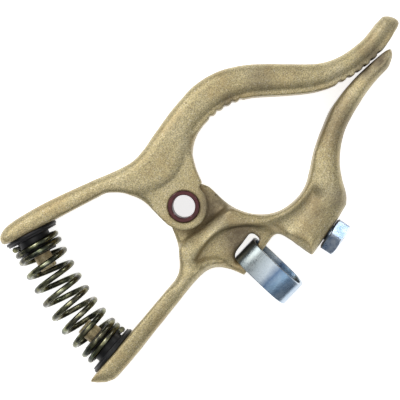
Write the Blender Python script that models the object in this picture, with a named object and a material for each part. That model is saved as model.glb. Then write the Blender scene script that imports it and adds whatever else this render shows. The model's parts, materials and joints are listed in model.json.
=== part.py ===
"""Spring-loaded ground clamp for arc welding, lying on its side.

Two cast bronze levers turn on a hollow pivot. A compression spring between the handles keeps
the jaws shut. The lower lever carries the cable barrel with its clamping screw, and a steel
strain-relief ring that hangs in a slot beside it.

Metres, +Z up. The clamp lies in the XY plane: +X runs to the jaw tips, +Y to the upper lever.
Outlines are written in millimetres from the pivot's axis, and Z from the clamp's mid-plane.
"""

import math

import bpy
from mathutils import Matrix, Vector

MM = 0.001

# Place of the pivot, so that the origin is under the middle of the whole clamp.
PIVOT = Vector((-23.755, 10.7, 14.0)) * MM

# Half thicknesses of the castings, measured from the mid-plane.
CREST_HALF = 14.0
RIM_HALF = 12.4
PLATE_HALF = 12.0
BARREL_HALF = 12.2
BRIDGE_HALF = 9.6
NECK_HALF = 13.3
ROOT_HALF = 10.2
WEB_HALF = 6.0
FORK_HALF = 6.6
TONGUE_HALF = 5.6
CREST_ROUND = 4.8
BARREL_ROUND = 6.5
PLATE_STEP = 1.5
PLATE_DEPTH = 4.0

# Pivot.
EAR_R = 11.2
TONGUE_R = 11.0
FORK_R = 14.0
PIVOT_BORE_R = 7.15
TUBE_OUTER_R = 6.9
TUBE_INNER_R = 5.35
TUBE_LIP_R = 7.6
TUBE_HALF = 12.9
WASHER_R = 10.4
WASHER_INNER_Z = 5.75
WASHER_OUTER_Z = 6.45

# Spring, its posts and its insulating seats.
POST_R = 4.3
POST_LENGTH = 19.0
SEAT_FLANGE_R = 13.0
SEAT_FLANGE_HEIGHT = 2.4
SEAT_SLEEVE_R = 8.0
SEAT_SLEEVE_HEIGHT = 11.5
SEAT_BORE_R = 4.8
SPRING_R = 10.3
WIRE_R = 1.35
TURNS = 10.5
CLOSED_TURNS = 1.9
CLOSED_PITCH = 3.3
TURN_AT_RIGHT = 4.5
GAP = 0.3

# Cable barrel, clamping screw and ball point.
BARREL_TILT = math.radians(18.0)
BARREL_FACE_START = Vector((33.0, -55.0))
SOCKET_R = 5.5
SOCKET_RISE = 9.0
SOCKET_DEPTH = 26.0
SCREW_ALONG = 13.2
SCREW_HEAD_GAP = 0.8
SCREW_HEAD_FLATS = 16.0
SCREW_HEAD_HEIGHT = 6.8
SCREW_R = 4.7
SCREW_BORE_R = 5.05
SCREW_LENGTH = 10.6
BALL_R = 3.0
BALL_SINK = 1.2

# Strain-relief ring and its slot.
PAD_CORNER = Vector((2.2, -42.8))
PAD_TILT = math.radians(15.8)
SLOT_ALONG = 11.0
SLOT_RISE = 6.5
SLOT_LENGTH = 14.8
SLOT_HEIGHT = 6.0
SLOT_CORNER_R = 2.0
RING_TILT = math.radians(8.5)
RING_LEAN = math.radians(6.5)
RING_HANG = Vector((10.67, -34.35))
RING_LONG = 31.5
RING_DEEP = 24.0
RING_WALL = 1.6
RING_WIDTH = 12.2
RING_SQUARENESS = 3.2

# Gripping teeth: round notches across the jaw plate.
TIP_NOTCHES = [92.5 + 4.5 * i for i in range(6)]
TIP_NOTCH_R = 1.3
THROAT_NOTCHES = [35.5 + 4.0 * i for i in range(5)]
THROAT_NOTCH_R = 1.1

# The upper lever's outline.
UPPER_BACK = [(-77.4, 37.0), (-78.6, 39.4), (-77.2, 42.0), (-73, 43.3), (-66, 43.5), (-50, 41.2),
              (-30, 36.7), (-14, 32.5), (-6, 31.3), (0, 32), (10, 35), (20, 38), (30, 40.2), (39, 41.4),
              (50, 40.1), (60, 36), (70, 29.5), (80, 21.5), (90, 14), (99, 10.5), (108, 9.7),
              (116, 10.3), (123, 12.1), (127, 12.7), (130, 11), (132.3, 7), (132.2, 5)]
UPPER_GRIP = [(132.2, 5), (127, 3.4), (120, 1), (113, -0.5), (106, -0.9), (100, -0.7), (94, 0.2),
              (88, 1.5), (80, 4.8), (70, 11), (60, 18), (54, 21.6), (47, 24), (40, 24.9), (33, 24.7),
              (27, 23.3), (22, 20.6), (18, 16.8)]
UPPER_NECK = [(18, 16.8), (15.2, 10.5), (13.4, 3.6)]
UPPER_FLANK = [(-11.1, -2.5), (-12, 4), (-12.8, 11), (-14.5, 17), (-18, 22.6), (-24.5, 27.4)]
UPPER_SEAT = [(-24.5, 27.4), (-77.4, 37.0)]
UPPER_HANDLE_FOOT = [(-18, 18), (-26, 21), (-80, 31)]
UPPER_SEAT_CUT = [(-24.8, 27.45), (-18.4, 22.5), (-15, 17), (-14.2, 14), (-40, 8), (-97, 15),
                  (-97, 40.57)]
UPPER_BODY_FOOT = [(21, 21.3), (12, 14.8), (5, 12.2), (-2, 12.2), (-8, 13.6), (-13.6, 15.5)]

# The lower lever's outline.
LOWER_FLANK = [(13.2, 3.0), (14.9, 0), (15.6, -4), (16.4, -9.5), (17.8, -14.5)]
LOWER_GRIP = [(17.8, -14.5), (21, -20.2), (25.2, -24.7), (30, -27.9), (35, -29.6), (41, -30), (47, -29),
              (52, -26.7), (60, -20.2), (65, -16.2), (70, -12.9), (80, -7.3), (85, -5.4), (90, -4),
              (95, -2.9), (100, -2), (106, -1.3), (112, -0.9), (118, -0.75), (121, -0.9)]
LOWER_TIP = [(121, -0.9), (121.9, -1.9), (120.6, -4), (117.5, -6.4), (114, -7.9)]
LOWER_BACK = [(114, -7.9), (108, -8.8), (102, -10), (95, -12.3), (88, -15), (82, -17.8), (77, -21.3),
              (72, -26), (68.3, -31), (66, -35.5), (64.6, -39.5), (63, -43), (60.3, -46)]
BARREL_HEEL = [(60.3, -46), (53, -48.9), (33, -55), (27.6, -38.4)]
LOWER_BACK_LEFT = [(2.2, -42.8), (0.8, -39.8), (-2, -35.6), (-5, -32.2), (-9, -30.5), (-14, -30.5),
                   (-20, -31.5), (-35, -35), (-50, -38.6), (-60, -41), (-70, -43), (-75, -43.7),
                   (-79, -42.4), (-82.5, -39.9), (-84.6, -37.8), (-84.2, -37.1)]
LOWER_SEAT = [(-84.2, -37.1), (-24, -24.6)]
LOWER_SHOULDER = [(-24, -24.6), (-20, -22.3), (-16.5, -17.5), (-13.6, -13)]
LOWER_RECESS = [(25, -31.5), (20, -27), (15, -23.3), (10, -20.6), (5, -19.2), (-2, -19.8), (-9, -22),
                (-18, -25.5)]
WEB_IN_BARREL = [(65, -33), (60, -42), (37, -49), (30, -40.5), (27.4, -37.6), (25.6, -36.2)]
WEB_SEAT = [(-82.6, -38.2), (-24, -25.8)]
HANDLE_TOP = [(-86.5, -32), (-29, -20.4), (-25.2, -24.95), (-21.5, -23.6), (-17.5, -22.2),
              (-12.5, -23.5), (-9, -27)]
LOWER_SEAT_CUT = [(-24.3, -24.66), (-27, -14), (-97, -14), (-97, -39.76)]
JAW_IN_BARREL = [(61, -39.5), (55.5, -37.5), (52, -33), (52.5, -29)]
BRIDGE = [(24.5, -29.8), (29.5, -30.8), (35, -31.2), (41, -31.6), (48, -30.4), (54, -27.6), (60, -22.4),
          (63, -20), (63, -33), (50, -38.5), (36, -42), (30.5, -39.6), (28.4, -36.8)]
NECK = [(66, -23), (70.5, -26.5), (67.2, -31.5), (65, -37.5), (62.5, -42), (55, -44.5), (47, -43),
        (45, -38), (50, -34.5), (56, -30.5), (60, -26)]
HANDLE_ROOT = [(-26, -31), (-14, -29.4), (-9, -29.3), (-4.5, -31), (-1.5, -34.2), (0.5, -32),
               (-3, -27.5), (-9, -24.6), (-16, -23.4), (-26, -26.5)]
BARREL_TOP = [(68.3, -31), (64, -26.5), (57, -29), (45, -33.6), (35, -36.4), (27.6, -38.4)]

SEGMENTS = 32


def clear_scene():
    for found in list(bpy.data.objects):
        bpy.data.objects.remove(found)


def material(name, colour, roughness, metallic):
    made = bpy.data.materials.new(name)
    made.use_nodes = True
    shader = made.node_tree.nodes["Principled BSDF"]
    shader.inputs["Base Color"].default_value = (*colour, 1.0)
    shader.inputs["Roughness"].default_value = roughness
    shader.inputs["Metallic"].default_value = metallic
    return made


def curve(points, step=3.2):
    """Points along a smooth curve that passes through every given point."""
    pts = [Vector(p) for p in points]
    pts = [pts[0] * 2 - pts[1], *pts, pts[-1] * 2 - pts[-2]]
    made = [pts[1]]
    for p0, p1, p2, p3 in zip(pts, pts[1:], pts[2:], pts[3:]):
        count = max(1, round((p2 - p1).length / step))
        for k in range(1, count + 1):
            t = k / count
            made.append(0.5 * (2 * p1 + (p2 - p0) * t + (2 * p0 - 5 * p1 + 4 * p2 - p3) * t * t
                               + (3 * p1 - p0 - 3 * p2 + p3) * t ** 3))
    return made


def arc(centre, radius, start, end, count):
    """Points on an arc from one angle to another, in degrees."""
    angles = [math.radians(start + (end - start) * k / count) for k in range(count + 1)]
    return [Vector(centre) + radius * Vector((math.cos(a), math.sin(a))) for a in angles]


def loop_of(*runs):
    """One closed outline, anticlockwise, from runs of points that follow each other."""
    made = []
    for run in runs:
        for p in map(Vector, run):
            if not made or (p - made[-1]).length > 0.05:
                made.append(p)
    if (made[0] - made[-1]).length <= 0.05:
        made.pop()
    area = sum(a.cross(b) for a, b in zip(made, made[1:] + made[:1]))
    return made if area > 0 else made[::-1]


def inward(loop):
    """The unit inward direction at each point of an anticlockwise loop."""
    made = []
    for before, after in zip(loop[-1:] + loop[:-1], loop[1:] + loop[:1]):
        along = (after - before).normalized()
        made.append(Vector((-along.y, along.x)))
    return made


def room(loop, normals):
    """The radius of the largest circle that fits inside the loop and touches it at each point."""
    found = []
    for p, n in zip(loop, normals):
        best = 1e9
        for q in loop:
            ahead = n.dot(q - p)
            if ahead > 1e-6:
                best = min(best, (q - p).length_squared / (2 * ahead))
        found.append(best)
    return found


def dense(loop, step=4.0):
    """The same loop, with points added along its long sides."""
    made = []
    for a, b in zip(loop, loop[1:] + loop[:1]):
        count = max(1, math.ceil((b - a).length / step))
        made += [a.lerp(b, k / count) for k in range(count)]
    return made


def inset_limits(loop, normals):
    """How far each point may move in without crossing its neighbours: it changes slowly along the loop."""
    limits = [0.75 * r for r in room(loop, normals)]
    n = len(loop)
    for k in [*range(2 * n), *range(2 * n, 0, -1)]:
        for near in (k - 1, k + 1):
            reach = 0.6 * (loop[k % n] - loop[near % n]).length
            limits[k % n] = min(limits[k % n], limits[near % n] + reach)
    return limits


def offset_run(points, distance):
    """An open run of points, moved to its left by a distance."""
    made = []
    for k, p in enumerate(points):
        along = (points[min(k + 1, len(points) - 1)] - points[max(k - 1, 0)]).normalized()
        made.append(p + distance * Vector((-along.y, along.x)))
    return made


def mesh_object(name, verts, faces, origin=Vector((0, 0, 0)), turn=None):
    """A mesh in millimetres becomes an object in metres, turned about its own origin and placed."""
    mesh = bpy.data.meshes.new(name)
    mesh.from_pydata([Vector(v) * MM for v in verts], [], faces)
    mesh.validate()
    made = bpy.data.objects.new(name, mesh)
    bpy.context.scene.collection.objects.link(made)
    made.location = PIVOT + Vector(origin) * MM
    if turn is not None:
        made.rotation_euler = turn.to_euler()
    return made


def stack(name, loop, levels):
    """A closed solid through copies of a loop, each at an (inset, z) level from the top down."""
    normals = inward(loop)
    limits = inset_limits(loop, normals)
    verts, faces, n = [], [], len(loop)
    for inset, z in levels:
        verts += [(*(p + d * min(inset, limit)), z) for p, d, limit in zip(loop, normals, limits)]
    faces.append(list(range(n)))
    for level in range(len(levels) - 1):
        a, b = level * n, (level + 1) * n
        faces += [(a + k, b + k, b + (k + 1) % n, a + (k + 1) % n) for k in range(n)]
    faces.append([(len(levels) - 1) * n + k for k in reversed(range(n))])
    return mesh_object(name, verts, faces)


def pillow(name, loop, half, radius, rounds=3):
    """A plate of twice the half thickness, with round edges of the radius on both faces."""
    upper = []
    for k in range(rounds + 1):
        a = math.radians(90 * (1 - k / rounds))
        upper.append((radius * (1 - math.cos(a)), half - radius * (1 - math.sin(a))))
    return stack(name, dense(loop), upper + [(inset, -z) for inset, z in reversed(upper)])


def prism(name, loop, half):
    return stack(name, loop, [(0, half), (0, -half)])


def turned(name, profile, origin=(0, 0, 0), turn=None, segments=SEGMENTS):
    """A solid turned about Z from a profile of (radius, z) points: open at the axis, or a closed ring."""
    verts, faces, rings = [], [], []
    for r, z in profile:
        if r == 0:
            rings.append([len(verts)] * segments)
            verts.append((0, 0, z))
        else:
            rings.append(list(range(len(verts), len(verts) + segments)))
            angles = [2 * math.pi * k / segments for k in range(segments)]
            verts += [(r * math.cos(a), r * math.sin(a), z) for a in angles]
    closed = profile[0][0] > 0
    pairs = list(zip(rings, rings[1:])) + ([(rings[-1], rings[0])] if closed else [])
    for a, b in pairs:
        for k in range(segments):
            face = [a[k], a[(k + 1) % segments], b[(k + 1) % segments], b[k]]
            faces.append(list(dict.fromkeys(face)))
    return mesh_object(name, verts, faces, Vector(origin), turn)


def rod(name, radius, start, end, origin=(0, 0, 0), turn=None, segments=SEGMENTS):
    return turned(name, [(0, start), (radius, start), (radius, end), (0, end)], origin, turn, segments)


def combine(target, operation, tools):
    """Adds or cuts the tools with exact Booleans, and hides them."""
    for tool in tools:
        tool.hide_render = True
        tool.display_type = "WIRE"
        modifier = target.modifiers.new(tool.name, "BOOLEAN")
        modifier.operation = operation
        modifier.solver = "EXACT"
        modifier.object = tool


def finish(made, paint):
    made.data.materials.clear()
    made.data.materials.append(paint)
    made.data.shade_smooth()
    made.data.set_sharp_from_angle(angle=math.radians(32))
    return made


def facing(direction):
    """The rotation that turns +Z to a direction in the clamp's plane, with local Y along the clamp's Z."""
    z = Vector((*direction, 0)).normalized()
    y = Vector((0, 0, 1))
    return Matrix((y.cross(z), y, z)).transposed()


def seat_middle(seat, reach):
    """The point on a handle's seat line under the spring, and the direction out of the seat."""
    a, b = map(Vector, seat)
    along = (b - a).normalized()
    out = Vector((-along.y, along.x))
    if out.y * a.y > 0:
        out = -out
    end = a if a.x < b.x else b
    return end + reach * (b - a if end is a else a - b).normalized(), out


UPPER_SEAT_AT, UPPER_SEAT_OUT = seat_middle(UPPER_SEAT, 13.1)
LOWER_SEAT_AT, LOWER_SEAT_OUT = seat_middle(LOWER_SEAT, 16.6)
BARREL_ALONG = Vector((math.cos(BARREL_TILT), math.sin(BARREL_TILT)))
SCREW_OUT = Vector((math.sin(BARREL_TILT), -math.cos(BARREL_TILT)))
SOCKET_MOUTH = BARREL_FACE_START - SCREW_OUT * SOCKET_RISE
SCREW_FACE = BARREL_FACE_START + BARREL_ALONG * SCREW_ALONG
SCREW_SEAT = SCREW_FACE + SCREW_OUT * SCREW_HEAD_GAP
PAD_ALONG = Vector((math.cos(PAD_TILT), math.sin(PAD_TILT)))
PAD_UP = Vector((-math.sin(PAD_TILT), math.cos(PAD_TILT)))


def post(name, at, out):
    """A cast post that the spring's seat slides over. It starts inside the handle."""
    return rod(name, POST_R, -4.2, POST_LENGTH, (*at, 0), facing(out), 26)


def notches(name, run, places, radius):
    """One cutter per tooth gap: a round bar across the jaw, centred on its gripping edge."""
    made = []
    for place in places:
        near = min(run, key=lambda p: abs(p.x - place))
        made.append(rod(f"{name}_{place:.0f}", radius, -CREST_HALF - 1, CREST_HALF + 1,
                        (near.x, near.y - 0.25, 0), None, 12))
    return made


def upper_lever(paint):
    """Upper jaw and handle, with the two ears of the fork and the spring's post."""
    back, grip = curve(UPPER_BACK), curve(UPPER_GRIP)
    neck, flank = curve(UPPER_NECK), curve(UPPER_FLANK)
    body_grip = [p for p in offset_run(grip, -PLATE_STEP) if p.x > 23]
    body = pillow("upper_lever", loop_of(back[2:-1], body_grip, curve(UPPER_BODY_FOOT), UPPER_HANDLE_FOOT),
                  CREST_HALF, CREST_ROUND)
    combine(body, "DIFFERENCE", [prism("upper_seat_cut", loop_of(UPPER_SEAT_CUT), CREST_HALF + 1)])
    ear_arc = arc((0, 0), EAR_R, 12, -167, 20)
    inside = [(-20, 27), (0, 25), *reversed(offset_run(grip, -PLATE_DEPTH)[2:]), (130.9, 8.1), (132.0, 5.9)]
    plate = prism("upper_plate", loop_of(grip, neck, ear_arc, flank, inside), PLATE_HALF)
    combine(body, "UNION", [plate, post("upper_post", UPPER_SEAT_AT, UPPER_SEAT_OUT)])
    fork = loop_of(arc((0, 0), FORK_R, 10, 170, 20), [(-22, 2.4), (-22, -16), (22, -16), (22, 2.4)])
    gap = prism("fork_gap", fork, FORK_HALF)
    bore = rod("upper_bore", PIVOT_BORE_R, -CREST_HALF - 1, CREST_HALF + 1)
    edge = curve(UPPER_GRIP, 0.5)
    combine(body, "DIFFERENCE", [gap, bore, *notches("tip_notch", edge, TIP_NOTCHES, TIP_NOTCH_R),
                                 *notches("throat_notch", edge, THROAT_NOTCHES, THROAT_NOTCH_R)])
    return finish(body, paint)


def lower_lever(paint):
    """Lower jaw and handle, with the tongue, the ring's slot, the cable barrel and the spring's post."""
    grip, tip, back = curve(LOWER_GRIP), curve(LOWER_TIP), curve(LOWER_BACK)
    left, shoulder = curve(LOWER_BACK_LEFT), curve(LOWER_SHOULDER)
    crest = [(-13.6, -13.0), (17.4, -13.0)]
    web_back = [p for p in back if p.y > -30]
    web_left = [p for p in left if p.x > -80 or p.y < -39.2]
    outline = loop_of(crest, grip, tip, web_back, WEB_IN_BARREL, web_left, WEB_SEAT, shoulder)
    web = pillow("lower_lever", outline, WEB_HALF, 1.5, 2)
    inner = [p for p in offset_run(grip, -3.3) if p.x > 28]
    outline = loop_of(crest, grip, reversed(inner), curve(LOWER_RECESS), shoulder)
    rim = pillow("lower_rim", outline, RIM_HALF, 1.2, 2)
    jaw_grip = [p for p in offset_run(grip, -PLATE_STEP) if 57 < p.x < 119.5]
    jaw_tip = [p for p in tip if p.y < -2.6]
    jaw_back = [p for p in back if p.y > -38]
    jaw = pillow("lower_jaw", loop_of(jaw_grip, jaw_tip, jaw_back, JAW_IN_BARREL), CREST_HALF, CREST_ROUND)
    handle_back = [p for p in left if p.x < -9.5][:-1]
    handle = pillow("lower_handle", loop_of(handle_back, HANDLE_TOP), CREST_HALF, CREST_ROUND)
    combine(handle, "DIFFERENCE", [prism("lower_seat_cut", loop_of(LOWER_SEAT_CUT), CREST_HALF + 1)])
    barrel_back = [p for p in back if p.y <= -31]
    barrel = pillow("barrel", loop_of(barrel_back, BARREL_HEEL, reversed(curve(BARREL_TOP))),
                    BARREL_HALF, BARREL_ROUND)
    bridge = prism("barrel_bridge", loop_of(BRIDGE), BRIDGE_HALF)
    neck = pillow("barrel_neck", loop_of(curve(NECK + NECK[:1])[:-1]), NECK_HALF, CREST_ROUND)
    root = pillow("handle_root", loop_of(curve(HANDLE_ROOT + HANDLE_ROOT[:1])[:-1]), ROOT_HALF, 2.5, 2)
    root_of_tongue = [(15, -20), (-12, -20), (-13.6, -13), (-11.6, -7.5)]
    tongue = prism("tongue", loop_of(curve(LOWER_FLANK), root_of_tongue, arc((0, 0), TONGUE_R, 200, 42, 18)),
                   TONGUE_HALF)
    combine(web, "UNION", [rim, jaw, handle, bridge, neck, root, barrel, tongue,
                           post("lower_post", LOWER_SEAT_AT, LOWER_SEAT_OUT)])
    combine(web, "DIFFERENCE", [
        rod("lower_bore", PIVOT_BORE_R, -CREST_HALF, CREST_HALF),
        prism("ring_slot", slot_outline(), CREST_HALF),
        rod("cable_socket", SOCKET_R, -6, SOCKET_DEPTH, (*SOCKET_MOUTH, 0), facing(BARREL_ALONG)),
        rod("screw_bore", SCREW_BORE_R, -SOCKET_RISE, 3, (*SCREW_FACE, 0), facing(SCREW_OUT), 24),
    ])
    return finish(web, paint)


def slot_outline():
    """The slot above the pad: a rectangle with round corners, in line with the pad."""
    middle = PAD_CORNER + PAD_ALONG * SLOT_ALONG + PAD_UP * SLOT_RISE
    across, up = SLOT_LENGTH / 2 - SLOT_CORNER_R, SLOT_HEIGHT / 2 - SLOT_CORNER_R
    made = []
    for start, sx, sy in ((0, 1, 1), (90, -1, 1), (180, -1, -1), (270, 1, -1)):
        for p in arc((sx * across, sy * up), SLOT_CORNER_R, start, start + 90, 4):
            made.append(middle + PAD_ALONG * p.x + PAD_UP * p.y)
    return loop_of(made)


def pivot_tube(paint):
    """Hollow rivet with a small lip over each ear."""
    lip_in, corner = PLATE_HALF + 0.2, 0.35
    outer = [(TUBE_INNER_R + corner, TUBE_HALF), (TUBE_LIP_R - corner, TUBE_HALF),
             (TUBE_LIP_R, TUBE_HALF - corner), (TUBE_LIP_R, lip_in), (TUBE_OUTER_R, lip_in)]
    mirrored = [(r, -z) for r, z in reversed(outer)]
    profile = outer + mirrored + [(TUBE_INNER_R, -TUBE_HALF + corner), (TUBE_INNER_R, TUBE_HALF - corner)]
    return finish(turned("pivot_tube", profile[::-1]), paint)


def pivot_washer(name, side, paint):
    """Fibre washer between the tongue and one ear."""
    low, high = sorted((side * WASHER_INNER_Z, side * WASHER_OUTER_Z))
    profile = [(PIVOT_BORE_R + 0.1, low), (WASHER_R, low), (WASHER_R, high), (PIVOT_BORE_R + 0.1, high)]
    return finish(turned(name, profile), paint)


def spring_seat(name, at, out, paint):
    """Insulating top hat: its flange lies on the handle, and its sleeve stands between post and spring."""
    base = 0.1
    profile = [(SEAT_BORE_R, base), (SEAT_FLANGE_R, base), (SEAT_FLANGE_R, SEAT_FLANGE_HEIGHT - 1.0),
               (SEAT_FLANGE_R - 1.0, SEAT_FLANGE_HEIGHT), (SEAT_SLEEVE_R, SEAT_FLANGE_HEIGHT),
               (SEAT_SLEEVE_R, SEAT_SLEEVE_HEIGHT - 1.0), (SEAT_SLEEVE_R - 1.0, SEAT_SLEEVE_HEIGHT),
               (SEAT_BORE_R, SEAT_SLEEVE_HEIGHT)]
    return finish(turned(name, profile, (*at, 0), facing(out)), paint)


def spring_axis(samples=200):
    """Points along the curved line through the coils' centres, from the upper seat to the lower one."""
    stand_off = SEAT_FLANGE_HEIGHT + GAP + WIRE_R
    p0, p3 = UPPER_SEAT_AT + UPPER_SEAT_OUT * stand_off, LOWER_SEAT_AT + LOWER_SEAT_OUT * stand_off
    reach = (p3 - p0).length / 3
    p1, p2 = p0 + UPPER_SEAT_OUT * reach, p3 + LOWER_SEAT_OUT * reach
    made = []
    for k in range(samples + 1):
        t = k / samples
        made.append(p0 * (1 - t) ** 3 + p1 * 3 * t * (1 - t) ** 2 + p2 * 3 * t * t * (1 - t) + p3 * t ** 3)
    return made


def spring(paint, per_turn=12, sides=8):
    """Compression spring: a round wire swept along a helix round the curved axis, with closed ends."""
    axis = spring_axis()
    lengths = [0.0]
    for a, b in zip(axis, axis[1:]):
        lengths.append(lengths[-1] + (b - a).length)
    open_pitch = (lengths[-1] - 2 * CLOSED_TURNS * CLOSED_PITCH) / (TURNS - 2 * CLOSED_TURNS)

    def centre(turn):
        ends = min(turn, CLOSED_TURNS) + max(0.0, turn - (TURNS - CLOSED_TURNS))
        s = ends * CLOSED_PITCH + (turn - ends) * open_pitch
        k = max(1, min(len(axis) - 1, sum(1 for x in lengths if x < s)))
        share = (s - lengths[k - 1]) / (lengths[k] - lengths[k - 1])
        point = axis[k - 1].lerp(axis[k], share)
        along = (axis[k] - axis[k - 1]).normalized()
        right = Vector((-along.y, along.x))
        angle = 2 * math.pi * (turn - TURN_AT_RIGHT)
        return Vector((*(point + right * SPRING_R * math.cos(angle)), SPRING_R * math.sin(angle)))

    count = round(TURNS * per_turn)
    verts, faces = [], []
    for k in range(count + 1):
        turn = TURNS * k / count
        here = centre(turn)
        along = (centre(turn + 0.01) - centre(turn - 0.01)).normalized()
        side = along.cross(Vector((0, 0, 1)) if abs(along.z) < 0.9 else Vector((1, 0, 0))).normalized()
        if k:
            side = (last - along * last.dot(along)).normalized()
        last = side
        up = along.cross(side)
        verts += [here + WIRE_R * (side * math.cos(a) + up * math.sin(a))
                  for a in (2 * math.pi * j / sides for j in range(sides))]
    for k in range(count):
        a, b = k * sides, (k + 1) * sides
        faces += [(a + j, a + (j + 1) % sides, b + (j + 1) % sides, b + j) for j in range(sides)]
    faces.append(list(reversed(range(sides))))
    faces.append(list(range(count * sides, count * sides + sides)))
    return finish(mesh_object("spring", verts, faces), paint)


def cable_ring(paint):
    """Oval steel band that holds the cable against the pad. Its origin is where it hangs in the slot."""
    turn = Matrix.Rotation(RING_TILT, 3, "Z") @ Matrix.Rotation(-RING_LEAN, 3, "Y")
    middle = -(RING_LONG / 2 - RING_WALL)
    count, half = 40, RING_WIDTH / 2

    def oval(shrink, x):
        made = []
        for k in range(count):
            a = 2 * math.pi * k / count
            c, s, power = math.cos(a), math.sin(a), 2 / RING_SQUARENESS
            y = (RING_LONG / 2 - shrink) * math.copysign(abs(c) ** power, c)
            z = (RING_DEEP / 2 - shrink) * math.copysign(abs(s) ** power, s)
            made.append((x, middle + y, z))
        return made

    edge = 0.3
    sections = [(0.0, -half + edge), (edge, -half), (RING_WALL - edge, -half), (RING_WALL, -half + edge),
                (RING_WALL, half - edge), (RING_WALL - edge, half), (edge, half), (0.0, half - edge)]
    verts = [p for shrink, x in sections for p in oval(shrink, x)]
    faces = []
    for k in range(len(sections)):
        a, b = k * count, (k + 1) % len(sections) * count
        faces += [(a + j, b + j, b + (j + 1) % count, a + (j + 1) % count) for j in range(count)]
    return finish(mesh_object("cable_ring", verts, faces, (*RING_HANG, 0), turn), paint)


def clamping_screw(paint):
    """Hex-head set screw: local Z points out of the barrel, and the head's underside is at its origin."""
    turn = facing(SCREW_OUT)
    seat = (*SCREW_SEAT, 0)
    tip = -SCREW_LENGTH
    screw = rod("clamping_screw", SCREW_R, tip, 0.6, seat, turn)
    corner = SCREW_HEAD_FLATS / math.sqrt(3)
    head = turned("screw_head", [(0, 0), (corner, 0), (corner, SCREW_HEAD_HEIGHT), (0, SCREW_HEAD_HEIGHT)],
                  seat, turn @ Matrix.Rotation(math.radians(30), 3, "Z"), 6)
    dome = SCREW_HEAD_FLATS / 2 * 0.96
    bottom, top = 0.02, SCREW_HEAD_HEIGHT - 0.02
    profile = [(0, bottom), (dome, bottom), (corner + 0.1, 0.8), (corner + 0.1, SCREW_HEAD_HEIGHT - 0.9),
               (dome, top), (0, top)]
    chamfer = turned("screw_chamfer", profile, seat, turn)
    combine(head, "INTERSECT", [chamfer])
    cup = ball("screw_cup", BALL_R + 0.25, seat, turn, tip + BALL_SINK)
    combine(screw, "DIFFERENCE", [cup])
    combine(screw, "UNION", [head])
    return finish(screw, paint)


def ball(name, radius, origin, turn, height, rings=10):
    profile = [(radius * math.sin(math.pi * k / rings), height - radius * math.cos(math.pi * k / rings))
               for k in range(rings + 1)]
    profile[0], profile[-1] = (0, profile[0][1]), (0, profile[-1][1])
    return turned(name, profile, origin, turn, 24)


def ball_point(paint):
    """Captive ball in the screw's end, which presses on the cable without turning."""
    height = -SCREW_LENGTH + BALL_SINK
    return finish(ball("ball_point", BALL_R, (*SCREW_SEAT, 0), facing(SCREW_OUT), height), paint)


def build():
    clear_scene()
    bronze = material("cast_bronze", (0.44, 0.37, 0.2), 0.5, 0.85)
    zinc = material("zinc_plate", (0.56, 0.6, 0.66), 0.28, 1.0)
    chromate = material("spring_chromate", (0.4, 0.39, 0.27), 0.3, 1.0)
    black = material("black_insulator", (0.02, 0.02, 0.02), 0.45, 0.0)
    red_tube = material("pivot_red", (0.2, 0.06, 0.055), 0.5, 0.1)
    fibre = material("fibre", (0.3, 0.1, 0.07), 0.7, 0.0)
    upper_lever(bronze)
    lower_lever(bronze)
    pivot_tube(red_tube)
    pivot_washer("pivot_washer_front", 1, fibre)
    pivot_washer("pivot_washer_back", -1, fibre)
    spring_seat("spring_seat_upper", UPPER_SEAT_AT, UPPER_SEAT_OUT, black)
    spring_seat("spring_seat_lower", LOWER_SEAT_AT, LOWER_SEAT_OUT, black)
    spring(chromate)
    cable_ring(zinc)
    clamping_screw(zinc)
    ball_point(zinc)


build()
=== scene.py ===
"""The finished look of a welding ground clamp: cast bronze levers, plated spring, ring and screw."""

import json
import math

import bmesh
import bpy
from mathutils import Matrix, Vector

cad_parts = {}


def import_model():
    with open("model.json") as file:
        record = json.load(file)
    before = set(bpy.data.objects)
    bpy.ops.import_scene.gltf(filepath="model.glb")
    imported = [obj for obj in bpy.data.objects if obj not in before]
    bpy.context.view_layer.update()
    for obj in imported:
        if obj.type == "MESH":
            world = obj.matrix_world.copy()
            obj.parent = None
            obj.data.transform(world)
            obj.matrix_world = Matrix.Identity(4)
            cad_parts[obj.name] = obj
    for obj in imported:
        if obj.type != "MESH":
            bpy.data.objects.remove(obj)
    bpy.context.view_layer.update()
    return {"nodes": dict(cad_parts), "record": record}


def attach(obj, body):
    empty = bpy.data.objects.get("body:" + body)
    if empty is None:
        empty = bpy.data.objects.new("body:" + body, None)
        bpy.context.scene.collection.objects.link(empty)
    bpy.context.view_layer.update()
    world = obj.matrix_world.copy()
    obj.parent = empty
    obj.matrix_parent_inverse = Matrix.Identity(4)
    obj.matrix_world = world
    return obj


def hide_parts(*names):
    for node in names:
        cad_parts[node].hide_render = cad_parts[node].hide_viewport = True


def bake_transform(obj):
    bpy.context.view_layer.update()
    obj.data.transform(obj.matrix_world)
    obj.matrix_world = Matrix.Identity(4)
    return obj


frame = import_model()

MM = 0.001
JOINTS = {joint["name"]: joint for joint in frame["record"]["behaviour"]["joints"]}
PIVOT = Vector(JOINTS["jaw_pivot"]["pos_m"])
UP = Vector((0, 0, 1))

# Castings.
CAST_VOXEL = 0.56 * MM
CAST_SMOOTHING = 7
SOFT_SMOOTHING = 150
CREST_START = 12.4 * MM
TONGUE_HALF = 5.7 * MM
EAR_R = 11.6 * MM
CONE_SLOPE = 0.8
CREST_RISE = 1 * MM
CREST_SOFTNESS = 0.25
CAST_WAVE = 0.16 * MM
SIDES_ROUND = 96

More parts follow.
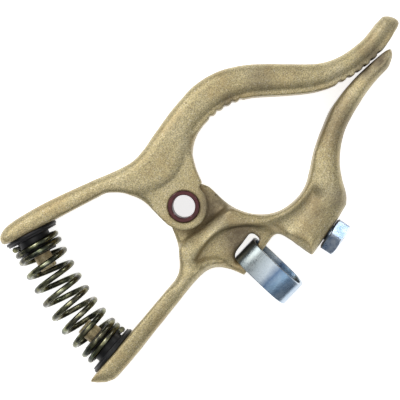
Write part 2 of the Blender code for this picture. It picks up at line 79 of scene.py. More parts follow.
# Cable ring, from the point it hangs from.
RING_HANG = Vector(JOINTS["ring_swing"]["pos_m"])
RING_AXIS = Vector(JOINTS["ring_swing"]["axis"])
RING_DOWN = RING_AXIS.cross(UP).normalized()
RING_LONG = 31.5 * MM
RING_DEEP = 24 * MM
RING_WALL = 1.6 * MM
RING_WIDTH = 12.2 * MM
RING_SQUARENESS = 3.2
RING_EDGE = 0.35 * MM

# Pivot.
TUBE_INNER_R = 5.35 * MM
TUBE_OUTER_R = 6.9 * MM
TUBE_LIP_R = 7.3 * MM
TUBE_HALF = 12.9 * MM
TUBE_LIP_FOOT = 12.2 * MM
WASHER_BORE_R = 7.25 * MM
WASHER_R = 10.4 * MM
WASHER_INNER_Z = 5.75 * MM
WASHER_OUTER_Z = 6.45 * MM

# Clamping screw.
SCREW_SEAT = Vector(JOINTS["screw_turn"]["pos_m"])
SCREW_OUT = Vector(JOINTS["screw_turn"]["axis"])
HEAD_FLATS = 16 * MM
HEAD_HEIGHT = 6.8 * MM
SHANK_LENGTH = 10.6 * MM
THREAD_R = 4.65 * MM
THREAD_DEPTH = 0.8 * MM
THREAD_PITCH = 1.5 * MM
CUP_R = 3.25 * MM
CUP_SINK = 1.2 * MM

# Spring and its seats, each seat on its lever's flat, from the pivot.
UPPER_FLAT = (Vector((-77.4, 37.0, 0)) * MM, Vector((-24.5, 27.4, 0)) * MM)
LOWER_FLAT = (Vector((-84.2, -37.1, 0)) * MM, Vector((-24.0, -24.6, 0)) * MM)
UPPER_SEAT_IN = 13.1 * MM
LOWER_SEAT_IN = 16.6 * MM
SEAT_BORE_R = 4.8 * MM
SEAT_FLANGE_R = 13 * MM
SEAT_FLANGE_HEIGHT = 2.4 * MM
SEAT_SLEEVE_R = 8 * MM
SEAT_SLEEVE_HEIGHT = 11.5 * MM
SEAT_BASE = 0.1 * MM
SPRING_R = 10.3 * MM
WIRE_R = 1.35 * MM
SPRING_GAP = 0.3 * MM
TURNS = 10.5
TURN_AT_RIGHT = 4.5
CLOSED_TURNS = 1.9
CLOSED_PITCH = 3.3 * MM
STEPS_PER_TURN = 60
WIRE_SIDES = 16


# ---------------------------------------------------------------- materials

class Paint:
    """A node material with short helpers, so that each finish below reads as a recipe."""

    def __init__(self, name):
        self.material = bpy.data.materials.new(name)
        self.material.use_nodes = True
        self.tree = self.material.node_tree
        self.shader = self.tree.nodes["Principled BSDF"]
        coordinates = self.tree.nodes.new("ShaderNodeTexCoord")
        self.place = coordinates.outputs["Object"]

    def link(self, source, target):
        self.tree.links.new(source, target)

    def noise(self, size, detail=3.0, roughness=0.55, stretch=None):
        """Noise with features of about that size, in metres, from 0 to 1."""
        place = self.place
        if stretch:
            mapping = self.tree.nodes.new("ShaderNodeMapping")
            mapping.inputs["Scale"].default_value = stretch
            self.link(place, mapping.inputs["Vector"])
            place = mapping.outputs["Vector"]
        node = self.tree.nodes.new("ShaderNodeTexNoise")
        node.inputs["Scale"].default_value = 1 / size
        node.inputs["Detail"].default_value = detail
        node.inputs["Roughness"].default_value = roughness
        self.link(place, node.inputs["Vector"])
        return node.outputs["Fac"]

    def grains(self, size):
        """A random value from 0 to 1 in each cell of about that size."""
        node = self.tree.nodes.new("ShaderNodeTexVoronoi")
        node.inputs["Scale"].default_value = 1 / size
        self.link(self.place, node.inputs["Vector"])
        split = self.tree.nodes.new("ShaderNodeSeparateColor")
        self.link(node.outputs["Color"], split.inputs["Color"])
        return split.outputs["Red"]

    def ramp(self, source, *stops):
        """A colour for each (value, (r, g, b)) stop."""
        node = self.tree.nodes.new("ShaderNodeValToRGB")
        points = node.color_ramp.elements
        while len(points) < len(stops):
            points.new(0.5)
        for point, (value, colour) in zip(points, stops):
            point.position = value
            point.color = (*colour, 1.0)
        self.link(source, node.inputs["Fac"])
        return node.outputs["Color"]

    def level(self, source, low, high, to_low=0.0, to_high=1.0):
        """source stretched from low..high to to_low..to_high, and held within that."""
        node = self.tree.nodes.new("ShaderNodeMapRange")
        node.inputs["From Min"].default_value = low
        node.inputs["From Max"].default_value = high
        node.inputs["To Min"].default_value = to_low
        node.inputs["To Max"].default_value = to_high
        self.link(source, node.inputs["Value"])
        return node.outputs["Result"]

    def sums(self, first, second, share=1.0):
        """first + second * share."""
        node = self.tree.nodes.new("ShaderNodeMath")
        node.operation = "MULTIPLY_ADD"
        node.inputs[1].default_value = share
        self.link(second, node.inputs[0])
        self.link(first, node.inputs[2])
        return node.outputs["Value"]

    def mixed(self, amount, under, over, blend="MIX"):
        """under, with over laid on it by amount. Either may be a colour or an output."""
        node = self.tree.nodes.new("ShaderNodeMix")
        node.data_type = "RGBA"
        node.blend_type = blend
        factor, a, b = node.inputs[0], node.inputs[6], node.inputs[7]
        for source, socket in ((amount, factor), (under, a), (over, b)):
            if isinstance(source, tuple):
                socket.default_value = (*source, 1.0)
            elif isinstance(source, float):
                socket.default_value = source
            else:
                self.link(source, socket)
        return node.outputs[2]

    def near(self, x, y, reach):
        """1 at a place in the clamp's plane, in millimetres from the pivot, falling to 0 at reach from it."""
        split = self.tree.nodes.new("ShaderNodeSeparateXYZ")
        self.link(self.place, split.inputs["Vector"])
        flat = self.tree.nodes.new("ShaderNodeCombineXYZ")
        self.link(split.outputs["X"], flat.inputs["X"])
        self.link(split.outputs["Y"], flat.inputs["Y"])
        away = self.tree.nodes.new("ShaderNodeVectorMath")
        away.operation = "DISTANCE"
        self.link(flat.outputs["Vector"], away.inputs[0])
        away.inputs[1].default_value = (PIVOT.x + x * MM, PIVOT.y + y * MM, 0)
        return self.level(away.outputs["Value"], reach * 0.3 * MM, reach * MM, 1.0, 0.0)

    def along(self, start, direction, length):
        """0 at a point, rising to 1 at length from it in a direction."""
        away = self.tree.nodes.new("ShaderNodeVectorMath")
        away.operation = "SUBTRACT"
        self.link(self.place, away.inputs[0])
        away.inputs[1].default_value = start
        run = self.tree.nodes.new("ShaderNodeVectorMath")
        run.operation = "DOT_PRODUCT"
        self.link(away.outputs["Vector"], run.inputs[0])
        run.inputs[1].default_value = direction
        return self.level(run.outputs["Value"], 0.0, length)

    def product(self, first, second):
        node = self.tree.nodes.new("ShaderNodeMath")
        node.operation = "MULTIPLY"
        self.link(first, node.inputs[0])
        self.link(second, node.inputs[1])
        return node.outputs["Value"]

    def pits(self, spacing, size):
        """1 in small round pits, one in about half of the cells of that spacing."""
        node = self.tree.nodes.new("ShaderNodeTexVoronoi")
        node.inputs["Scale"].default_value = 1 / spacing
        self.link(self.place, node.inputs["Vector"])
        split = self.tree.nodes.new("ShaderNodeSeparateColor")
        self.link(node.outputs["Color"], split.inputs["Color"])
        inside = self.level(node.outputs["Distance"], size * 0.5 / spacing, size * 0.8 / spacing, 1.0, 0.0)
        return self.product(inside, self.level(split.outputs["Red"], 0.55, 0.6))

    def hollows(self, reach):
        """0 on open surfaces and 1 deep in corners."""
        node = self.tree.nodes.new("ShaderNodeAmbientOcclusion")
        node.inputs["Distance"].default_value = reach
        node.samples = 8
        return self.level(node.outputs["AO"], 1.0, 0.25)

    def edges(self):
        """0 on flat and hollow surfaces and 1 on worn edges."""
        node = self.tree.nodes.new("ShaderNodeNewGeometry")
        return self.level(node.outputs["Pointiness"], 0.52, 0.58)

    def finish(self, colour, roughness, metallic, bump=None, depth=0.0):
        self.link(colour, self.shader.inputs["Base Color"])
        if isinstance(roughness, float):
            self.shader.inputs["Roughness"].default_value = roughness
        else:
            self.link(roughness, self.shader.inputs["Roughness"])
        self.shader.inputs["Metallic"].default_value = metallic
        if bump is not None:
            node = self.tree.nodes.new("ShaderNodeBump")
            node.inputs["Strength"].default_value = 1.0
            node.inputs["Distance"].default_value = depth
            self.link(bump, node.inputs["Height"])
            self.link(node.outputs["Normal"], self.shader.inputs["Normal"])
        return self.material


# Painted shade and grime on the castings: (x, y, reach) in millimetres from the pivot, and how strong it is.
# The patches above the ring's slot, under the ear, on the barrel and along the gap between the jaws are
# painted shade;
# the two near the upper throat's teeth are stains; the rest darken the lower jaw, the jaw tip and the
# barrel's edge.
SHADE_AND_GRIME = [(11, -29, 12, 0.85), (11, -9, 12, 0.7), (80, -12, 18, 0.5), (46, -38, 13, 0.35), (128, 8, 9, 0.25),
         (64, 24, 9, 0.45), (46, 25.5, 6, 0.5), (60, -42, 8, 0.45), (112, -1, 12, 0.5), (113, -1.5, 5, 0.7),
         (104, -2, 5, 0.6)]


def cast_bronze():
    """Sand-cast bronze, tumbled: pale and sparkling on open faces; painted shade with some brown patina in
    the hollows, and listed patches darkened by painted shade or grime.
    """
    paint = Paint("cast_bronze")
    patches = paint.noise(20 * MM, 4)
    base = paint.ramp(patches, (0.32, (0.37, 0.3, 0.155)), (0.5, (0.44, 0.368, 0.2)),
                      (0.7, (0.5, 0.43, 0.26)))
    fine = paint.noise(0.55 * MM, 2, 0.7)
    grain = paint.ramp(fine, (0.36, (0.2, 0.19, 0.17)), (0.5, (0.5, 0.5, 0.5)), (0.64, (0.78, 0.78, 0.74)))
    grainy = paint.mixed(0.72, base, grain, "OVERLAY")
    sparkle = paint.level(paint.grains(0.3 * MM), 0.9, 1.0, 0.0, 0.7)
    sparkled = paint.mixed(sparkle, grainy, (0.8, 0.75, 0.6))
    # Painted shade, with some brown patina: ambient occlusion darkens the hollows to brown.
    shaded = paint.level(paint.hollows(6 * MM), 0.12, 1.0, 0.0, 0.85)
    painted_shade_brown = paint.mixed(shaded, sparkled, (0.2, 0.125, 0.05))
    rust = paint.level(paint.noise(14 * MM, 5, 0.6), 0.52, 0.7, 0, 0.4)
    stained_and_shaded = paint.mixed(rust, painted_shade_brown, (0.38, 0.25, 0.09))
    cloudy = paint.noise(2.2 * MM, 5, 0.65)
    # Painted shade and grime: each listed patch darkens the colour, unevenly.
    for x, y, reach, strength in SHADE_AND_GRIME:
        uneven = paint.level(cloudy, 0.3, 0.7, strength * 0.7, strength * 1.1)
        patch = paint.product(paint.near(x, y, reach), uneven)
        stained_and_shaded = paint.mixed(patch, stained_and_shaded, (0.09, 0.062, 0.04))
    pits = paint.pits(7 * MM, 0.5 * MM)
    pitted = paint.mixed(pits, stained_and_shaded, (0.07, 0.045, 0.025))
    worn = paint.mixed(paint.level(paint.edges(), 0.3, 1.0, 0, 0.22), pitted, (0.74, 0.65, 0.45))
    roughness = paint.level(paint.sums(fine, patches, 0.5), 0.45, 1.05, 0.34, 0.52)
    bump = paint.sums(paint.sums(fine, paint.noise(1.6 * MM, 3), 0.7), pits, -3.0)
    return paint.finish(worn, roughness, 0.5, bump, 0.11 * MM)


def zinc_plate(name="zinc_plate", tone=None):
    """Bright zinc with a blue passivate, faintly brushed, with painted shade in its hollows. tone is a recipe
    for colours along a piece, here the ring's painted reflections and shade.
    """
    paint = Paint(name)
    clouds = paint.noise(5 * MM, 4)
    base = paint.ramp(clouds, (0.3, (0.16, 0.26, 0.42)), (0.5, (0.38, 0.47, 0.6)), (0.7, (0.66, 0.71, 0.77)))
    # For the ring, tone lays painted reflections and shade over the plating.
    if tone:
        base = paint.mixed(0.85, base, tone(paint, clouds))
    # Painted shade: ambient occlusion darkens the hollows, such as the inside of the ring.
    base = paint.mixed(paint.level(paint.hollows(14 * MM), 0.15, 0.9, 0, 0.85), base, (0.07, 0.08, 0.09))
    lines = paint.noise(1.1 * MM, 3, 0.6, (1.0, 1.0, 9.0))
    strokes = paint.ramp(lines, (0.3, (0.3, 0.3, 0.3)), (0.7, (0.7, 0.7, 0.7)))
    brushed = paint.mixed(0.35, base, strokes, "OVERLAY")
    worn = paint.mixed(paint.level(paint.edges(), 0.0, 1.0, 0, 0.6), brushed, (0.85, 0.86, 0.86))
    roughness = paint.level(paint.sums(lines, clouds, 0.6), 0.5, 1.1, 0.2, 0.4)
    return paint.finish(worn, roughness, 1.0, lines, 0.03 * MM)


def ring_painted_reflections(paint, clouds):
    """Painted reflections and shade along the ring, over its blue passivate: darker and greenish at the slot
    where it mirrors the bronze, then silver, deep blue, and pale bands.
    """
    run = paint.along(RING_HANG, RING_DOWN, RING_LONG)
    wavy = paint.sums(run, paint.level(clouds, 0.0, 1.0, -0.5, 0.5), 0.14)
    return paint.ramp(wavy, (0.04, (0.16, 0.18, 0.16)), (0.2, (0.27, 0.3, 0.29)),
                      (0.42, (0.42, 0.47, 0.5)), (0.54, (0.05, 0.1, 0.19)),
                      (0.66, (0.2, 0.32, 0.45)), (0.74, (0.11, 0.19, 0.3)),
                      (0.84, (0.34, 0.44, 0.54)), (0.93, (0.5, 0.57, 0.64)))


def spring_chromate():
    """Yellow chromate over zinc on drawn wire, running from dark olive to gold and grey."""
    paint = Paint("spring_chromate")
    clouds = paint.noise(4 * MM, 4, 0.6)
    base = paint.ramp(clouds, (0.28, (0.02, 0.021, 0.019)), (0.44, (0.065, 0.066, 0.05)),
                      (0.57, (0.17, 0.17, 0.1)), (0.72, (0.38, 0.37, 0.31)))
    tint = paint.ramp(paint.noise(11 * MM, 2), (0.35, (0.4, 0.5, 0.46)), (0.5, (0.55, 0.53, 0.4)),
                      (0.65, (0.55, 0.47, 0.5)))
    tinted = paint.mixed(0.45, base, tint, "OVERLAY")
    specks = paint.level(paint.grains(0.9 * MM), 0.93, 1.0, 0, 0.5)
    speckled = paint.mixed(specks, tinted, (0.05, 0.045, 0.035))
    roughness = paint.level(clouds, 0.3, 0.7, 0.3, 0.16)
    return paint.finish(speckled, roughness, 1.0, paint.noise(0.8 * MM, 3), 0.02 * MM)


def black_insulator():
    """Moulded black insulator, slightly dusty in its corners."""
    paint = Paint("black_insulator")
    mottle = paint.noise(3 * MM, 4)
    base = paint.ramp(mottle, (0.3, (0.005, 0.005, 0.0055)), (0.7, (0.014, 0.0135, 0.0135)))
    dusty = paint.mixed(paint.level(paint.hollows(2.5 * MM), 0.5, 1, 0, 0.3), base, (0.05, 0.043, 0.035))
    worn = paint.mixed(paint.level(paint.edges(), 0.2, 1.0, 0, 0.4), dusty, (0.06, 0.06, 0.06))
    roughness = paint.level(mottle, 0.3, 0.7, 0.34, 0.55)
    paint.shader.inputs["Specular IOR Level"].default_value = 0.35
    return paint.finish(worn, roughness, 0.0, paint.noise(0.45 * MM, 2), 0.05 * MM)


def pivot_red():
    """Steel tube under a dark red coat, rubbed through on its lips."""
    paint = Paint("pivot_red")
    mottle = paint.noise(4 * MM, 4)
    base = paint.ramp(mottle, (0.3, (0.04, 0.01, 0.011)), (0.7, (0.11, 0.03, 0.031)))
    rubbed = paint.mixed(paint.level(paint.edges(), 0.1, 1.0, 0, 0.7), base, (0.36, 0.2, 0.22))
    scuffs = paint.level(paint.noise(1.2 * MM, 3), 0.6, 0.75, 0, 0.4)
    scuffed = paint.mixed(scuffs, rubbed, (0.24, 0.12, 0.12))
    roughness = paint.level(mottle, 0.3, 0.7, 0.3, 0.5)
    return paint.finish(scuffed, roughness, 0.55, paint.noise(0.6 * MM, 3), 0.04 * MM)


def fibre():
    """Red vulcanised fibre with a felt-like grain."""
    paint = Paint("fibre")
    grain = paint.noise(0.6 * MM, 4, 0.7, (1.0, 1.0, 4.0))
    base = paint.ramp(grain, (0.3, (0.14, 0.03, 0.022)), (0.7, (0.3, 0.085, 0.06)))
    dusty = paint.mixed(paint.level(paint.noise(5 * MM, 3), 0.5, 0.75, 0, 0.5), base, (0.2, 0.14, 0.09))
    return paint.finish(dusty, paint.level(grain, 0.3, 0.7, 0.6, 0.8), 0.0, grain, 0.06 * MM)


FINISHES = {make.__name__: make() for make in (cast_bronze, zinc_plate, spring_chromate, black_insulator,
                                               pivot_red, fibre)}
# The ring's finish carries painted reflections and shade along its length.
RING_FINISH = zinc_plate("zinc_plate_ring", ring_painted_reflections)
SLOTS = {part["node"]: part["material_slot"] for part in frame["record"]["subparts"]}
BODIES = {node: body for body, nodes in frame["record"]["behaviour"]["bodies"].items() for node in nodes}


# ---------------------------------------------------------------- mesh helpers

def mesh_object(name, points, faces):
    mesh = bpy.data.meshes.new(name)
    mesh.from_pydata([tuple(p) for p in points], [], faces)
    mesh.validate()
    made = bpy.data.objects.new(name, mesh)
    bpy.context.scene.collection.objects.link(made)
    return made


def copy_of(node, name):
    """A copy of a CAD node's mesh, in the row frame and free of its body."""
    source = frame["nodes"][node]
    mesh = source.data.copy()
    mesh.transform(source.matrix_world)
    mesh.materials.clear()
    made = bpy.data.objects.new(name, mesh)
    bpy.context.scene.collection.objects.link(made)
    return made


def modified(thing, kind, **settings):
    modifier = thing.modifiers.new(kind.lower(), kind)
    for key, value in settings.items():
        setattr(modifier, key, value)
    return modifier


def applied(thing):
    """Turns thing's modifiers into plain mesh."""
    graph = bpy.context.evaluated_depsgraph_get()
    mesh = bpy.data.meshes.new_from_object(thing.evaluated_get(graph))
    thing.modifiers.clear()
    thing.data = mesh
    return thing


def finished(thing, node, sharp=None, finish=None):
    """Gives thing its slot's finish, or its own, in place of a CAD node. sharp, in degrees, keeps edges."""
    thing.data.shade_smooth()
    if sharp is not None:
        thing.data.set_sharp_from_angle(angle=math.radians(sharp))
    thing.data.materials.clear()
    thing.data.materials.append(finish or FINISHES[SLOTS[node]])
    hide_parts(node)
    return thing


def dressed(thing, node, sharp=None, finish=None):
    """Finishes thing and lets it ride on the body of the CAD node that it stands for."""
    finished(thing, node, sharp, finish)
    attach(thing, BODIES[node])
    return thing


def swept(name, rings, closed=False, caps=True):
    """Skin over rings of points. closed joins the last ring to the first."""
    sides = len(rings[0])
    points = [p for ring in rings for p in ring]
    faces = []
    spans = len(rings) if closed else len(rings) - 1
    for i in range(spans):
        a, b = i * sides, (i + 1) % len(rings) * sides
        for k in range(sides):
            nxt = (k + 1) % sides
            faces.append((a + k, a + nxt, b + nxt, b + k))
    if caps and not closed:
        faces.append(tuple(range(sides))[::-1])
        faces.append(tuple(range((len(rings) - 1) * sides, len(rings) * sides)))
    return mesh_object(name, points, faces)


def along(direction):
    """Rotation matrix that turns +Z to a direction in the clamp's plane, and +Y up."""
    ahead = Vector(direction).normalized()
    return Matrix((UP.cross(ahead), UP, ahead)).transposed()


def corners_rounded(profile, radius, steps=4):
    """A closed profile with each corner replaced by a small arc."""
    made = []
    points = [Vector(p) for p in profile]
    for before, corner, after in zip(points[-1:] + points[:-1], points, points[1:] + points[:1]):
        reach = min(radius, (before - corner).length * 0.45, (after - corner).length * 0.45)
        start = corner + (before - corner).normalized() * reach
        end = corner + (after - corner).normalized() * reach
        for k in range(steps + 1):
            t = k / steps
            made.append(start * (1 - t) ** 2 + corner * 2 * t * (1 - t) + end * t * t)
    return made


def turned(name, profile, place, turn=None):
    """A closed (radius, height) profile turned about the local Z axis."""
    turn = turn or Matrix.Identity(3)
    rings = []
    for k in range(SIDES_ROUND):
        a = 2 * math.pi * k / SIDES_ROUND
        out = Vector((math.cos(a), math.sin(a), 0))
        rings.append([place + turn @ (out * p[0] + UP * p[1]) for p in profile])
    return swept(name, rings, closed=True)


def outward(thing):
    """Turns every face of a closed mesh to face out."""
    shape = bmesh.new()
    shape.from_mesh(thing.data)
    bmesh.ops.recalc_face_normals(shape, faces=shape.faces)
    shape.to_mesh(thing.data)
    shape.free()
    return thing


# ---------------------------------------------------------------- pieces

# Where the castings' ribs run into each other: (x, y, reach) in millimetres from the pivot.
SOFT_SPOTS = {
    "upper_lever": [(-20, 26, 9), (-12, 16, 8), (132, 6, 8), (-77, 39, 7), (20, 22, 7)],
    "lower_lever": [(60, -31, 15), (50, -33, 14), (40, -34, 13), (30, -34, 12), (-1, -31, 12), (-11, -28, 14),
                    (-20, -23, 12), (-12, -15, 9), (-4, -14, 9), (4, -13.5, 9), (12, -13.5, 9), (18, -15, 8),
                    (120, -5, 5), (72, -17, 10), (80, -13, 10), (89, -10, 9), (98, -7, 8), (107, -6, 7)],
}


def softened(made, spots):
    """Melts a casting's ribs together near some places, more strongly the nearer they are."""
    group = made.vertex_groups.new(name="soft")
    for vertex in made.data.vertices:
        weight = 0.0
        for x, y, reach in spots:
            away = math.hypot(vertex.co.x - PIVOT.x - x * MM, vertex.co.y - PIVOT.y - y * MM)
            weight = max(weight, 1 - away / (reach * MM))
        up_crest = min(1.0, (abs(vertex.co.z - PIVOT.z) - CREST_START) / CREST_RISE)
        weight = max(weight, CREST_SOFTNESS * up_crest)
        if weight > 0:
            group.add([vertex.index], min(1.0, weight * 2), "REPLACE")
    modified(made, "SMOOTH", factor=0.5, iterations=SOFT_SMOOTHING, vertex_group=group.name)
    return applied(made)


def sloped_to_pivot(made):
    """Cuts the lower casting down to the tongue around the ears, along a cone about the pivot."""
    for vertex in made.data.vertices:
        away = math.hypot(vertex.co.x - PIVOT.x, vertex.co.y - PIVOT.y)
        height = vertex.co.z - PIVOT.z
        cap = TONGUE_HALF + max(0.0, away - EAR_R) * CONE_SLOPE
        if abs(height) > cap:
            vertex.co.z = PIVOT.z + math.copysign(cap, height)
    return made


def casting(node):
    """A lever with cast fillets, softened edges and a slightly wavy skin."""
    made = copy_of(node, node + "_casting")
    modified(made, "REMESH", mode="VOXEL", voxel_size=CAST_VOXEL)
    modified(made, "SMOOTH", factor=0.5, iterations=CAST_SMOOTHING)
    applied(made)
    if node == "lower_lever":
        sloped_to_pivot(made)
    softened(made, SOFT_SPOTS[node])
    waves = bpy.data.textures.new(node + "_waves", "CLOUDS")
    waves.noise_scale = 5 * MM
    waves.noise_depth = 3
    modified(made, "DISPLACE", texture=waves, texture_coords="LOCAL", strength=CAST_WAVE, mid_level=1.0)
    return dressed(applied(made), node)


def pivot_tube():
    """Hollow rivet with a rolled lip over each ear."""
    half = [(TUBE_INNER_R, TUBE_HALF), (TUBE_LIP_R, TUBE_HALF), (TUBE_LIP_R, TUBE_LIP_FOOT),
            (TUBE_OUTER_R, TUBE_LIP_FOOT)]
    profile = half + [(r, -z) for r, z in reversed(half)]
    made = turned("pivot_rivet", corners_rounded(profile, 0.45 * MM, 5), PIVOT)
    dressed(outward(made), "pivot_tube", sharp=40)


def pivot_washer(node, side):
    """Fibre washer between the tongue and an ear."""
    low, high = sorted((side * WASHER_INNER_Z, side * WASHER_OUTER_Z))
    profile = [(WASHER_BORE_R, low), (WASHER_R, low), (WASHER_R, high), (WASHER_BORE_R, high)]
    made = turned(node + "_disc", corners_rounded(profile, 0.15 * MM, 3), PIVOT)
    dressed(outward(made), node, sharp=40)


def seat_frame(flat, in_by, inward):
    """(place, direction) of a seat: on its lever's flat, and pointing to the other lever."""
    start, end = flat
    run = (end - start).normalized()
    out = Vector((-run.y, run.x, 0)) * inward
    return PIVOT + start + run * in_by, out


UPPER_SEAT = seat_frame(UPPER_FLAT, UPPER_SEAT_IN, -1)
LOWER_SEAT = seat_frame(LOWER_FLAT, LOWER_SEAT_IN, 1)


def spring_seat(node, seat):
    """Insulating top hat: a flange on the handle and a ribbed sleeve inside the spring."""
    place, out = seat
    profile = [(SEAT_BORE_R, SEAT_BASE), (SEAT_FLANGE_R, SEAT_BASE),
               (SEAT_FLANGE_R, SEAT_FLANGE_HEIGHT * 0.55),
               (SEAT_FLANGE_R * 0.955, SEAT_FLANGE_HEIGHT * 0.62), (SEAT_FLANGE_R * 0.95, SEAT_FLANGE_HEIGHT),
               (SEAT_SLEEVE_R, SEAT_FLANGE_HEIGHT), (SEAT_SLEEVE_R * 0.97, SEAT_SLEEVE_HEIGHT),
               (SEAT_BORE_R, SEAT_SLEEVE_HEIGHT)]
    made = turned(node + "_hat", corners_rounded(profile, 0.5 * MM), place, along(out))
    dressed(outward(made), node, sharp=40)


def spring_axis(samples=200):
    """Points along the curve through the coils' centres, from the upper seat to the lower one."""
    stand_off = SEAT_FLANGE_HEIGHT + SPRING_GAP + WIRE_R
    (upper, upper_out), (lower, lower_out) = UPPER_SEAT, LOWER_SEAT
    p0, p3 = upper + upper_out * stand_off, lower + lower_out * stand_off
    reach = (p3 - p0).length / 3
    p1, p2 = p0 + upper_out * reach, p3 + lower_out * reach
    made = []
    for k in range(samples + 1):
        t = k / samples
        made.append(p0 * (1 - t) ** 3 + p1 * 3 * t * (1 - t) ** 2 + p2 * 3 * t * t * (1 - t) + p3 * t ** 3)
    return made


def spring():
    """Round wire coiled about the curved axis, with a closed turn at each end."""
    axis = spring_axis()
    lengths = [0.0]
    for a, b in zip(axis, axis[1:]):
        lengths.append(lengths[-1] + (b - a).length)
    open_pitch = (lengths[-1] - 2 * CLOSED_TURNS * CLOSED_PITCH) / (TURNS - 2 * CLOSED_TURNS)

    def centre(turn):
        ends = min(turn, CLOSED_TURNS) + max(0.0, turn - (TURNS - CLOSED_TURNS))
        s = ends * CLOSED_PITCH + (turn - ends) * open_pitch
        k = max(1, min(len(axis) - 1, sum(1 for x in lengths if x < s)))
        point = axis[k - 1].lerp(axis[k], (s - lengths[k - 1]) / (lengths[k] - lengths[k - 1]))
        run = (axis[k] - axis[k - 1]).normalized()
        angle = 2 * math.pi * (turn - TURN_AT_RIGHT)
        return point + (Vector((-run.y, run.x, 0)) * math.cos(angle) + UP * math.sin(angle)) * SPRING_R

    count = round(TURNS * STEPS_PER_TURN)
    rings = []
    for k in range(count + 1):
        turn = TURNS * k / count
        here = centre(turn)
        run = (centre(turn + 0.01) - centre(turn - 0.01)).normalized()
        side = (last - run * last.dot(run)).normalized() if k else run.orthogonal().normalized()
        last = side
        over = run.cross(side)
        ring = [here + (side * math.cos(a) + over * math.sin(a)) * WIRE_R
                for a in (2 * math.pi * j / WIRE_SIDES for j in range(WIRE_SIDES))]
        rings.append(ring)
    made = outward(swept("spring_wire", rings))
    finished(made, "spring", sharp=50)
    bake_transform(made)


def cable_ring():
    """Strip bent to an oval loop, with its edges broken."""
    deep = RING_AXIS.cross(RING_DOWN).normalized()
    middle = RING_HANG + RING_DOWN * (RING_LONG / 2 - RING_WALL)
    half = RING_WIDTH / 2
    section = corners_rounded([(0, -half), (RING_WALL, -half), (RING_WALL, half), (0, half)], RING_EDGE)
    rings = []
    count = 180
    for k in range(count):
        a = 2 * math.pi * k / count
        power = 2 / RING_SQUARENESS
        c = math.copysign(abs(math.cos(a)) ** power, math.cos(a))
        s = math.copysign(abs(math.sin(a)) ** power, math.sin(a))
        ring = []
        for shrink, x in section:
            ring.append(middle - RING_DOWN * (RING_LONG / 2 - shrink) * c
                        + deep * (RING_DEEP / 2 - shrink) * s + RING_AXIS * x)
        rings.append(ring)
    dressed(outward(swept("cable_ring_strip", rings, closed=True)), "cable_ring", 50, RING_FINISH)


def hexagon_r(angle):
    """Distance from the axis to the hex head's side at an angle, with its corners slightly rounded."""
    off = (angle + math.pi / 6) % (math.pi / 3) - math.pi / 6
    return min(HEAD_FLATS / 2 / math.cos(off), HEAD_FLATS / 2 * 1.135)


def round_ring(radius, height, place, turn):
    """A ring of points. radius is a length or a function of the angle, and so is height."""
    made = []
    for k in range(SIDES_ROUND):
        a = 2 * math.pi * k / SIDES_ROUND
        r = radius(a) if callable(radius) else radius
        z = height(a) if callable(height) else height
        made.append(place + turn @ Vector((r * math.cos(a), r * math.sin(a), z)))
    return made


def clamping_screw():
    """Hex-head screw: chamfered head, washer face, threaded shank, and the ball's cup in its tip."""
    turn = along(SCREW_OUT)
    flat_r = HEAD_FLATS / 2 * 0.94
    slope = math.tan(math.radians(28))

    def top(a):
        return HEAD_HEIGHT - (hexagon_r(a) - flat_r) * slope

    def foot(a):
        return 0.35 * MM + max(0.0, hexagon_r(a) - flat_r * 1.03) * slope * 0.6

    shape = [(flat_r * 0.05, HEAD_HEIGHT - 0.25 * MM), (flat_r * 0.7, HEAD_HEIGHT - 0.25 * MM),
             (flat_r * 0.8, HEAD_HEIGHT - 0.06 * MM), (flat_r * 0.9, HEAD_HEIGHT), (flat_r, HEAD_HEIGHT),
             (hexagon_r, top), (hexagon_r, lambda a: top(a) - 0.25 * MM),
             (hexagon_r, lambda a: foot(a) + 0.2 * MM), (hexagon_r, foot), (flat_r, 0.35 * MM),
             (flat_r * 0.985, 0.05 * MM), (flat_r * 0.97, 0.0), (THREAD_R, 0.0)]
    rows = round(SHANK_LENGTH / THREAD_PITCH * 12)
    for k in range(1, rows):
        z = -SHANK_LENGTH * k / rows

        def thread(a, z=z):
            phase = (z / THREAD_PITCH - a / (2 * math.pi)) % 1.0
            ridge = min(1.0, max(0.0, 1.35 * abs(phase * 2 - 1) - 0.15))
            ends = min(1.0, -z / (1.2 * MM))
            return THREAD_R - THREAD_DEPTH * (1 - ridge * ends)

        shape.append((thread, z))
    lip = math.sqrt(CUP_R ** 2 - CUP_SINK ** 2)
    shape += [(THREAD_R - THREAD_DEPTH - 0.1 * MM, -SHANK_LENGTH), (lip, -SHANK_LENGTH)]
    start = math.asin(CUP_SINK / CUP_R)
    for k in range(1, 9):
        a = -start + (math.pi / 2 + start) * k / 8.2
        shape.append((CUP_R * math.cos(a), -SHANK_LENGTH + CUP_SINK + CUP_R * math.sin(a)))
    rings = [round_ring(r, z, SCREW_SEAT, turn) for r, z in shape]
    dressed(outward(swept("clamping_screw_hex", rings)), "clamping_screw", sharp=32)


def ball_point():
    """Ball held in the screw's tip, with a small flat that bears on the cable."""
    made = copy_of("ball_point", "ball_point_polished")
    modified(made, "SUBSURF", levels=1, render_levels=1)
    dressed(applied(made), "ball_point", sharp=50)


for lever in ("upper_lever", "lower_lever"):
    casting(lever)
pivot_tube()
pivot_washer("pivot_washer_front", 1)
pivot_washer("pivot_washer_back", -1)
spring_seat("spring_seat_upper", UPPER_SEAT)
spring_seat("spring_seat_lower", LOWER_SEAT)
spring()
cable_ring()
clamping_screw()
ball_point()


# ---------------------------------------------------------------- stage

FLOOR_HALF = 3.0
FLOOR_GAP = 0.1 * MM
FLOOR_GLOW = 0.9


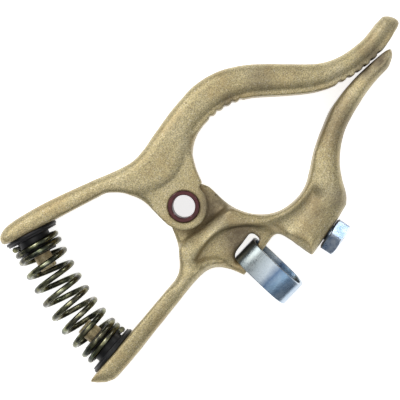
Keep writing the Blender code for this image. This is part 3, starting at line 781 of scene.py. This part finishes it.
def lit_table():
    """Plain white table, lit from within as for product pictures."""
    paint = Paint("lit_table")
    tone = paint.ramp(paint.noise(90 * MM, 2), (0.3, (0.84, 0.84, 0.84)), (0.7, (0.86, 0.86, 0.86)))
    paint.link(tone, paint.shader.inputs["Emission Color"])
    paint.shader.inputs["Emission Strength"].default_value = FLOOR_GLOW
    return paint.finish(tone, 0.9, 0.0)


def floor():
    half = FLOOR_HALF
    made = mesh_object("floor", [(-half, -half, 0), (half, -half, 0), (half, half, 0), (-half, half, 0)],
                       [(0, 1, 2, 3)])
    made.location.z = -FLOOR_GAP
    made.data.materials.append(lit_table())


def lamp(name, at, size, power, colour=(1, 1, 1)):
    """A square area light that faces the origin. Its size is in metres and its power in watts."""
    data = bpy.data.lights.new(name, "AREA")
    data.size = size
    data.energy = power
    data.color = colour
    made = bpy.data.objects.new(name, data)
    made.location = at
    made.rotation_euler = (-Vector(at)).to_track_quat("-Z", "Y").to_euler()
    bpy.context.scene.collection.objects.link(made)


VIEW_UP = Vector((0.616, 0.788, 0)).normalized()
VIEW_RIGHT = VIEW_UP.cross(UP)
VIEW_AIM = PIVOT + Vector((7.56, -2.33, -2)) * MM
VIEW_WIDTH = 0.188
VIEW_DISTANCE = 1.0
VIEW_LEAN = math.radians(1.3)
SENSOR = 36.0


def camera():
    data = bpy.data.cameras.new("camera")
    data.sensor_width = SENSOR
    data.lens = SENSOR * VIEW_DISTANCE / VIEW_WIDTH
    data.clip_start = 0.05
    data.clip_end = 20
    made = bpy.data.objects.new("camera", data)
    lean = (VIEW_UP + VIEW_RIGHT).normalized() * math.sin(VIEW_LEAN)
    back = (UP * math.cos(VIEW_LEAN) + lean).normalized()
    right = VIEW_UP.cross(back).normalized()
    facing = Matrix((right, back.cross(right), back)).transposed()
    made.matrix_world = Matrix.Translation(VIEW_AIM + back * VIEW_DISTANCE) @ facing.to_4x4()
    bpy.context.scene.collection.objects.link(made)
    bpy.context.scene.camera = made


def world():
    """Soft light from above, darker and bluer to the horizon, which the bright metal mirrors."""
    made = bpy.data.worlds.new("studio")
    made.use_nodes = True
    tree = made.node_tree
    place = tree.nodes.new("ShaderNodeTexCoord")
    split = tree.nodes.new("ShaderNodeSeparateXYZ")
    ramp = tree.nodes.new("ShaderNodeValToRGB")
    tree.links.new(place.outputs["Generated"], split.inputs["Vector"])
    tree.links.new(split.outputs["Z"], ramp.inputs["Fac"])
    points = ramp.color_ramp.elements
    points[0].color = (0.11, 0.12, 0.14, 1)
    points[1].color = (0.5, 0.5, 0.5, 1)
    points.new(0.5).color = (0.2, 0.22, 0.25, 1)
    tree.links.new(ramp.outputs["Color"], tree.nodes["Background"].inputs["Color"])
    bpy.context.scene.world = made


def studio():
    world()
    floor()
    camera()
    left, right, top = -VIEW_RIGHT, VIEW_RIGHT, VIEW_UP
    lamp("key", top * 0.5 + left * 0.6 + UP * 0.75, 0.6, 5.4, (1.0, 0.985, 0.96))
    lamp("fill", right * 0.7 - top * 0.3 + UP * 0.7, 0.7, 0.8, (0.94, 0.97, 1.0))
    lamp("glint", (top * 0.83 + right * 0.56) * 0.87 + UP * 0.5, 0.3, 1.6)
    lamp("overhead", UP * 1.3 - top * 0.1, 0.9, 3.0)
    bpy.context.scene.view_settings.view_transform = "Standard"


studio()
